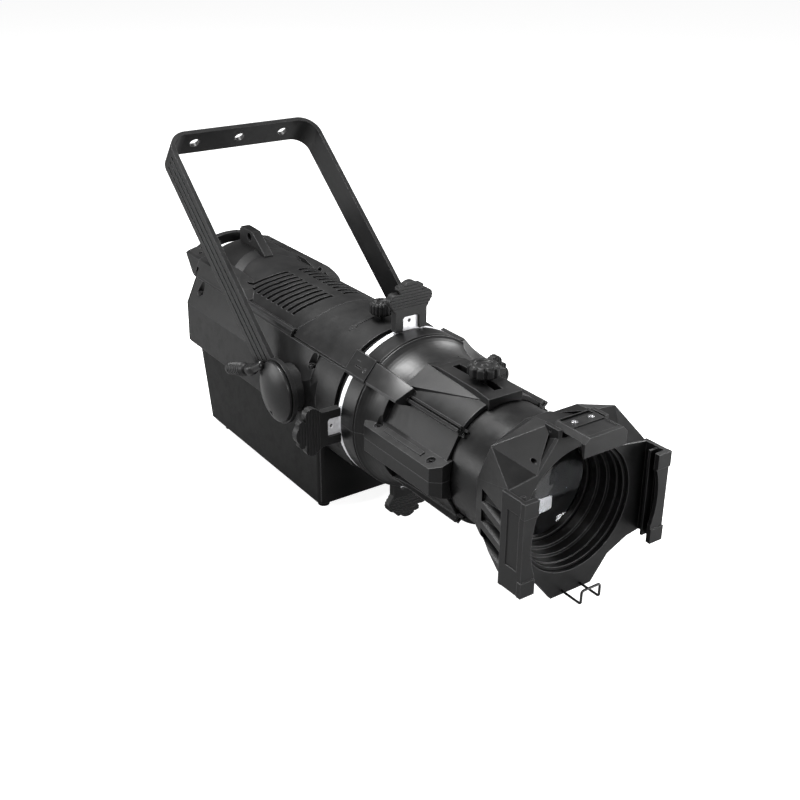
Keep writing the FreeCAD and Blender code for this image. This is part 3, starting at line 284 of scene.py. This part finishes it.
# In each finish, the edge shade value is the grey of the painted edge highlight.
BLACKS = {
    "cast_housing": dict(dark=grey(0.006), light=grey(0.009), rough=0.46, grain=700, depth=0.00004,
                         level=0.28),
    "sheet_black": dict(dark=grey(0.004), light=grey(0.006), rough=0.55, grain=800, depth=0.00005,
                        level=0.16),
    "yoke_black": dict(dark=grey(0.006), light=grey(0.010), rough=0.40, edge=0.0004, level=0.30),
    "barrel_black": dict(dark=grey(0.006), light=grey(0.010), rough=0.40, grain=800, depth=0.00003,
                         level=0.30),
    "tube_black": dict(dark=grey(0.005), light=grey(0.008), rough=0.34, depth=0.00001, level=0.30),
    "hub_black": dict(dark=grey(0.006), light=grey(0.009), rough=0.36, grain=500, depth=0.000006,
                      level=0.34),
    "handle_black": dict(dark=grey(0.006), light=grey(0.009), rough=0.46, depth=0.00003, edge=0.0006,
                         level=0.30),
    "black_fixings": dict(dark=grey(0.010), light=grey(0.016), rough=0.30, depth=0.00001, edge=0.0004,
                          level=0.45),
    "latch_black": dict(dark=grey(0.006), light=grey(0.009), rough=0.42, edge=0.0006, level=0.30),
    "led_board": dict(dark=(0.62, 0.6, 0.4), light=(0.75, 0.72, 0.45), rough=0.5, edge_highlight_shade=0.8),
    "board_green": dict(dark=(0.02, 0.10, 0.04), light=(0.03, 0.14, 0.06), rough=0.4, edge_highlight_shade=0.3),
    "fan_black": dict(dark=grey(0.006), light=grey(0.010), rough=0.45),
    "feet_rubber": dict(dark=grey(0.006), light=grey(0.010), rough=0.75, grain=600, depth=0.00005,
                        level=0.20),
    "display_smoke": dict(dark=(0.004, 0.006, 0.010), light=(0.006, 0.009, 0.014), rough=0.08, coat=0.6,
                          depth=0.000002, dust=0.03),
    "button_grey": dict(dark=grey(0.04), light=grey(0.06), rough=0.6),
    "socket_black": dict(dark=grey(0.008), light=grey(0.012), rough=0.4),
    "power_blue": dict(dark=(0.01, 0.05, 0.20), light=(0.015, 0.07, 0.26), rough=0.38, edge_highlight_shade=0.3),
    "power_white": dict(dark=grey(0.42), light=grey(0.5), rough=0.4, edge_highlight_shade=0.7),
}
METALS = {
    "stainless": dict(dark=grey(0.80), light=grey(0.94), rough=0.38, stretch=(1.0, 30.0, 1.0),
                      metallic=0.55),
    "plain_steel": dict(dark=grey(0.30), light=grey(0.42), rough=0.36, stretch=(4.0, 1.0, 4.0)),
    "bright_rivets": dict(dark=grey(0.6), light=grey(0.75), rough=0.2, stretch=(8.0, 8.0, 1.0)),
    "bare_aluminium": dict(dark=grey(0.10), light=grey(0.16), rough=0.45, stretch=(1.0, 1.0, 20.0)),
}
FINISHES = {"optic_glass": finish_glass("optic_glass")}
FINISHES.update({name: finish_black(name, **values) for name, values in BLACKS.items()})
FINISHES.update({name: finish_metal(name, **values) for name, values in METALS.items()})


def dress(obj, material):
    """Puts the finish in every material slot of an object."""
    if not obj.material_slots:
        obj.data.materials.append(material)
    for entry in obj.material_slots:
        entry.material = material


# ---- shaped pieces: the CAD's driving dimensions, in millimetres along the optical axis -----------
REAR_END = 691.0
FRONT_END = -2.3
AXIS_HEIGHT = 143.0
PIVOT_Y = 388.0
ROUND_STEPS = 144                   # segments round a turned piece
WIRE_SIDES = 20                     # segments round a thin rod
THINNEST = 0.02                     # smallest radius of a ring, so that none is a single point
BEND_SHARE = 0.45


def to_frame(points):
    """Points in millimetres about the optical axis and the slot's face, as metres in the row frame."""
    shift = np.array([0.0, -(REAR_END + FRONT_END) / 2, AXIS_HEIGHT])
    return (np.asarray(points) + shift) / 1000.0


def ring_mesh(name, points):
    """Closed mesh over a grid of points (rows, columns, 3), in metres.

    Each row is a ring. Neighbouring rings are joined by quads, and the first and the last ring each
    close with a fan round their mean point. Faces are turned outward by the sign of the volume.
    """
    rows, cols = points.shape[:2]
    index = np.arange(rows * cols).reshape(rows, cols)
    lower, upper = index[:-1], index[1:]
    quads = np.stack([lower, np.roll(lower, -1, axis=1), np.roll(upper, -1, axis=1), upper], axis=-1)
    quads = quads.reshape(-1, 4)
    first = np.full(cols, rows * cols)
    fans = np.concatenate([np.stack([np.roll(index[0], -1), index[0], first], axis=-1),
                           np.stack([index[-1], np.roll(index[-1], -1), first + 1], axis=-1)])
    ends = np.stack([points[0].mean(axis=0), points[-1].mean(axis=0)])
    coords = np.concatenate([points.reshape(-1, 3), ends])
    tris = np.concatenate([quads[:, [0, 1, 2]], quads[:, [0, 2, 3]], fans])
    a, b, c = (coords[tris[:, n]] for n in range(3))
    if np.einsum("ij,ij->i", a, np.cross(b, c)).sum() < 0:
        quads = quads[:, ::-1]
        fans = fans[:, ::-1]
    mesh = bpy.data.meshes.new(name)
    mesh.from_pydata(coords.tolist(), [], quads.tolist() + fans.tolist())
    mesh.shade_smooth()
    return mesh


def shaped_piece(mesh, body, slot, node):
    """Object for a finished mesh, riding on a body in place of its CAD node."""
    obj = bpy.data.objects.new(mesh.name, mesh)
    bpy.context.scene.collection.objects.link(obj)
    dress(obj, FINISHES[slot])
    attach(obj, body)
    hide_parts(node)


def smooth_profile(corners, round_mm=0.5, steps=5):
    """Polyline whose inner corners are replaced by short parabolic bends of round_mm on each side.

    A bend takes at most BEND_SHARE of either side, so neighbouring bends never meet.
    """
    corners = np.asarray(corners, float)
    out = [corners[:1]]
    t = np.linspace(0, 1, steps)[:, None]
    for before, at, after in zip(corners[:-2], corners[1:-1], corners[2:]):
        back = before - at
        ahead = after - at
        p = at + back * min(BEND_SHARE, round_mm / np.linalg.norm(back))
        q = at + ahead * min(BEND_SHARE, round_mm / np.linalg.norm(ahead))
        out.append((1 - t) ** 2 * p + 2 * t * (1 - t) * at + t ** 2 * q)
    out.append(corners[-1:])
    return np.concatenate(out)


def lathe(name, profile, place, flutes=0, depth=0.0):
    """Profile of (radius, along, share of fluting) spun about a line.

    place(x, y, along) turns the local point into millimetres. With flutes, the radius shrinks by
    depth * share * (the positive part of the cosine of flutes turns, to the power 1.5), which leaves
    broad lobes with narrow scallops between them.
    """
    turn = np.linspace(0, 2 * np.pi, ROUND_STEPS, endpoint=False)[None, :]
    radius, along, share = (profile[:, n][:, None] for n in range(3))
    scallop = np.clip(np.cos(flutes * turn), 0, 1) ** 1.5 if flutes else 0 * turn
    reach = np.maximum(radius - depth * share * scallop, THINNEST)
    return ring_mesh(name, to_frame(place(reach * np.cos(turn), reach * np.sin(turn), along + 0 * turn)))


def swept(name, path, radius, sides=WIRE_SIDES):
    """Round rod along a path of points; each ring lies across the path's local direction.

    radius is one value or one for each point. The first ring starts level with world X, or with Z
    where the path sets out along X, and each next ring carries that direction on without a twist.
    """
    path = np.asarray(path, float)
    ahead = np.gradient(path, axis=0)
    ahead /= np.linalg.norm(ahead, axis=1)[:, None]
    along_x = abs(ahead[0, 0]) > 0.9
    guide = np.array([0.0, 0.0, 1.0] if along_x else [1.0, 0.0, 0.0])
    across = [guide - guide @ ahead[0] * ahead[0]]
    for way in ahead[1:]:
        across.append(across[-1] - across[-1] @ way * way)
    across = np.array(across)
    across /= np.linalg.norm(across, axis=1)[:, None]
    up = np.cross(ahead, across)
    turn = np.linspace(0, 2 * np.pi, sides, endpoint=False)[None, :, None]
    reach = np.broadcast_to(np.asarray(radius, float), (len(path),))[:, None, None]
    rings = across[:, None, :] * np.cos(turn) + up[:, None, :] * np.sin(turn)
    return ring_mesh(name, to_frame(path[:, None, :] + reach * rings))


COLLAR = 2.0                        # thickness of the collar under a knob
KNOB_ROUND = 0.7                    # rounding of a knob's corners


def knob_piece(name, body, node, radius, bottom, top, y, stud, stud_bottom, flutes, bite):
    """Clamping knob: scallops round the rim, a dished top with a raised centre, collar and stud.

    bite is the scallops' depth as a share of the radius. In each corner the radii are shares of the
    knob's radius, the heights are in millimetres, and the last value is the share of the scallop.
    """
    corners = [(0, stud_bottom, 0), (stud, stud_bottom, 0), (stud, bottom - COLLAR, 0),
               (radius * 0.55, bottom - COLLAR, 0), (radius * 0.55, bottom, 0),
               (radius * 0.86, bottom, 0.5), (radius, bottom + 2.2, 1),
               (radius, top - 2.6, 1), (radius * 0.84, top, 0.6), (radius * 0.60, top, 0.1),
               (radius * 0.52, top - 1.6, 0), (radius * 0.24, top - 1.6, 0), (radius * 0.2, top - 0.4, 0),
               (0, top - 0.2, 0)]

    def place(x, across, along):
        return np.stack([x, across + y, along], axis=-1)

    mesh = lathe(name, smooth_profile(corners, KNOB_ROUND), place, flutes, radius * bite)
    shaped_piece(mesh, body, "handle_black", node)


CAP_R = 33.5
CAP_IN = 99.2                       # inner face, from the middle of the fixture
CAP_EDGE = 3.5
CAP_RISE = 8.5
CAP_ROUND = 0.8
DOME_INSET = 1.5                    # from the cap's rim to the foot of the dome
DOME_STEPS = 90
BORE_R = 6.0
BORE_END = 104.6
PIT_Y = 1.0                         # middle of the screw pit, from the pivot
PIT_Z = -24.0
PIT_R = 2.9
PIT_WALL = 0.8
PIT_DEPTH = 2.4


def cap_piece(name, body, node, side):
    """Low dome with a rolled rim, a blind bore behind and a small screw pit below the middle.

    The dome is part of a ball whose radius follows from the cap's radius and rise; the pit lowers it
    by up to PIT_DEPTH inside PIT_R.
    """
    ball = (CAP_R ** 2 + CAP_RISE ** 2) / (2 * CAP_RISE)
    reach = np.linspace(CAP_R - DOME_INSET, 0, DOME_STEPS)
    face = CAP_IN + CAP_EDGE
    dome = np.stack([reach, face + CAP_RISE - ball + np.sqrt(ball ** 2 - reach ** 2), 0 * reach], axis=-1)
    back = smooth_profile([(0, BORE_END, 0), (BORE_R, BORE_END, 0), (BORE_R, CAP_IN, 0), (CAP_R, CAP_IN, 0),
                           (CAP_R, face, 0), dome[0]], CAP_ROUND)

    def place(z, across, along):
        off = np.hypot(across - PIT_Y, z - PIT_Z)
        pit = np.where(along > face - 0.5, PIT_DEPTH * np.clip((PIT_R - off) / PIT_WALL, 0, 1), 0)
        return np.stack([side * (along - pit), across + PIVOT_Y, z], axis=-1)

    shaped_piece(lathe(name, np.concatenate([back[:-1], dome]), place), body, "hub_black", node)


LENS_R = 59.3
LENS_EDGE = 5.0
LENS_STEPS = 48


def lens_piece(name, body, node, y0, rise_front, rise_back):
    """Biconvex lens: a spherical cap in front and behind, joined by a plain rim, spun about the axis."""
    reach = LENS_R * np.linspace(0, 1, LENS_STEPS)

    def cap(rise):
        ball = (LENS_R ** 2 + rise ** 2) / (2 * rise)
        return rise - (ball - np.sqrt(ball ** 2 - reach ** 2))

    radius = np.concatenate([reach, reach[::-1]])
    along = np.concatenate([y0 - cap(rise_front), (y0 + LENS_EDGE + cap(rise_back))[::-1]])

    def place(x, z, depth):
        return np.stack([x, depth, z], axis=-1)

    mesh = lathe(name, np.stack([radius, along, 0 * along], axis=-1), place)
    shaped_piece(mesh, body, "optic_glass", node)


LEVER_X = -108.4
LEVER_START = (LEVER_X + 2.6, PIVOT_Y + 19, 26.0)
LEVER_BALL = (LEVER_X, PIVOT_Y + 40, 13.0)
LEVER_TIP = (LEVER_X, PIVOT_Y + 95.5, -5.0)
ARM_R = 4.5
CORE_R = 4.0
BALL_R = 7.9
ARM_STEPS = 20
CORE_STEPS = 60
BALL_SKIP = 4                       # steps left out of each run where the two meet inside the ball
CORE_SHARE = 0.9                    # how far the core runs towards the tip
GRIP_START = 13.0                   # distances along the grip, from the middle of the ball
GRIP_BODY = ((GRIP_START, 4.6), (14, 6.0), (19, 8.0), (30, 8.1), (50, 7.4))
GRIP_END = ((-2.5, 7.0), (-0.8, 5.6), (0, 4.2))     # the same, back from the tip
RIB_DEPTH = 0.9
RIB_PITCH = 4.8
RIB_SPAN = (18.5, 52)
GRIP_STEPS = 220
ROD_SIDES = 28
GRIP_SIDES = 40


def lever_pieces():
    """Arm, ball and core as one swept rod whose radius swells to the ball, and a ribbed grip over the core."""
    start, ball, tip = (np.array(p) for p in (LEVER_START, LEVER_BALL, LEVER_TIP))
    length = np.linalg.norm(tip - ball)
    arm = np.linspace(0, 1, ARM_STEPS)[:-BALL_SKIP, None]
    core = np.linspace(0, 1, CORE_STEPS)[BALL_SKIP:, None]
    path = np.concatenate([start + (ball - start) * arm, ball + (tip - ball) * core * CORE_SHARE])
    off = np.linalg.norm(path - ball, axis=1)
    bulb = np.sqrt(np.clip(BALL_R ** 2 - off ** 2, 0, None))
    radius = np.maximum(np.where(np.arange(len(path)) < len(arm), ARM_R, CORE_R), bulb)
    rod = swept("lock_lever_round", path, radius, ROD_SIDES)
    shaped_piece(rod, "tilt_lock", "hub_black", "lock_lever")

    along = np.linspace(GRIP_START, length, GRIP_STEPS)
    shape = np.array(GRIP_BODY + tuple((length + back, reach) for back, reach in GRIP_END))
    body = np.interp(along, shape[:, 0], shape[:, 1])
    ribbed = (along > RIB_SPAN[0]) & (along < RIB_SPAN[1])
    ribs = RIB_DEPTH * np.clip(np.sin((along - RIB_SPAN[0]) * 2 * np.pi / RIB_PITCH), 0, 1) * ribbed
    unit = (tip - ball) / length
    grip = swept("lever_grip_round", ball + unit * along[:, None], body - ribs, GRIP_SIDES)
    shaped_piece(grip, "tilt_lock", "handle_black", "lever_grip")


WIRE_R = 1.2
WIRE_X = 11.0
WIRE_Z = -82.0
WIRE_RISE = 13.5
WIRE_REAR = 38.0
WIRE_BEND = 3.0
WIRE_BEND_STEPS = 12


def wire_piece():
    """Spring wire: one rod along a path of straights joined by short bends."""
    x, low, high = WIRE_X, WIRE_Z, WIRE_Z + WIRE_RISE
    corners = [(-x, WIRE_REAR, low), (-x, 0, low), (-x, 0, high), (x, 0, high), (x, 0, low),
               (x, WIRE_REAR, low)]
    mesh = swept("wire_clip_bent", smooth_profile(corners, WIRE_BEND, WIRE_BEND_STEPS), WIRE_R)
    shaped_piece(mesh, "lens_carriage", "black_fixings", "wire_clip")


# ---- stage and light ---------------------------------------------------------------------------
FLOOR_HALF = 30.0
FLOOR_SHADE = 0.6
FLOOR_GLOW = 0.86
FLOOR_BOUNCE = 0.25
WORLD_FILL = 0.13
WHITE = (1, 1, 1, 1)
MIDDLE = (0.0, 0.0, 0.15)
LIGHTS = (                          # name, place, aim, width, height, power
    ("over", (-0.35, 0.45, 1.9), MIDDLE, 1.0, 0.5, 70),
    ("left", (-2.4, 0.7, 1.5), MIDDLE, 0.5, 1.0, 32),
    ("front", (-0.5, -2.6, 1.7), MIDDLE, 1.2, 0.6, 46),
    ("right", (2.2, 0.6, 1.5), MIDDLE, 0.6, 1.0, 34),
    ("low", (0.55, -1.05, 0.12), (0.0, -0.3, 0.14), 0.8, 0.4, 11),
    ("side", (-1.1, 0.95, 0.30), (-0.1, 0.1, 0.1), 0.8, 0.4, 5),
)


def camera_ray(t):
    return t.add("ShaderNodeLightPath").outputs["Is Camera Ray"]


def make_stage():
    """Pale floor that the camera sees nearly white and that throws only a little light back up."""
    mesh = bpy.data.meshes.new("floor")
    h = FLOOR_HALF
    mesh.from_pydata([(-h, -h, 0), (h, -h, 0), (h, h, 0), (-h, h, 0)], [], [(0, 1, 2, 3)])
    floor = bpy.data.objects.new("floor", mesh)
    bpy.context.scene.collection.objects.link(floor)
    material, t = new_material("pale_floor")
    seen = t.add("ShaderNodeBsdfDiffuse", {"Color": (FLOOR_SHADE, FLOOR_SHADE, FLOOR_SHADE, 1)})
    glow = t.add("ShaderNodeEmission", {"Color": WHITE, "Strength": FLOOR_GLOW})
    pale = t.add("ShaderNodeAddShader", {0: seen.outputs[0], 1: glow.outputs[0]})
    dim = t.add("ShaderNodeBsdfDiffuse", {"Color": (FLOOR_BOUNCE, FLOOR_BOUNCE, FLOOR_BOUNCE, 1)})
    both = t.add("ShaderNodeMixShader", {0: camera_ray(t), 1: dim.outputs[0], 2: pale.outputs[0]})
    t.add("ShaderNodeOutputMaterial", {"Surface": both.outputs[0]})
    dress(floor, material)


def soft_light(name, place, aim, width, height, power):
    """Rectangular softbox at a place, turned towards its aim and unseen by the camera."""
    data = bpy.data.lights.new(name, "AREA")
    data.shape = "RECTANGLE"
    data.size = width
    data.size_y = height
    data.energy = power
    light = bpy.data.objects.new(name, data)
    bpy.context.scene.collection.objects.link(light)
    light.location = place
    light.rotation_mode = "QUATERNION"
    light.rotation_quaternion = (Vector(aim) - Vector(place)).to_track_quat("-Z", "Y")
    light.visible_camera = False


def make_light():
    """Softboxes above, to the sides and in front, two low cards, and a white world that fills only a little."""
    for values in LIGHTS:
        soft_light(*values)
    world = bpy.data.worlds.new("studio")
    world.use_nodes = True
    world.node_tree.nodes.clear()
    t = Tree(world.node_tree)
    strength = t.span(camera_ray(t), 0.0, 1.0, WORLD_FILL, 1.0)
    back = t.add("ShaderNodeBackground", {"Color": WHITE, "Strength": strength})
    t.add("ShaderNodeOutputWorld", {"Surface": back.outputs[0]})
    bpy.context.scene.world = world
    bpy.context.scene.view_settings.view_transform = "Standard"


make_camera()
make_stage()
make_light()
for node, obj in NODES.items():
    dress(obj, FINISHES[SLOT_OF[node]])
knob_piece("focus_knob_fluted", "focus_knob", "focus_knob", radius=15.5, bottom=77.5, top=90.0, y=162.0,
           stud=3.95, stud_bottom=55.0, flutes=9, bite=0.17)
knob_piece("rotation_knob_fluted", "rotation_lock", "rotation_lock_knob", radius=13.0, bottom=85.5, top=99.0,
           y=334.0, stud=3.0, stud_bottom=74.0, flutes=18, bite=0.10)
cap_piece("pivot_cap_domed", "yoke", "pivot_cap_right", side=1)
cap_piece("lock_disc_domed", "tilt_lock", "lock_disc_left", side=-1)
lever_pieces()
wire_piece()
lens_piece("front_lens_ground", "lens_carriage", "front_lens", y0=72.0, rise_front=5.0, rise_back=12.0)
lens_piece("rear_lens_ground", "lens_carriage", "rear_lens", y0=196.0, rise_front=10.0, rise_back=3.0)
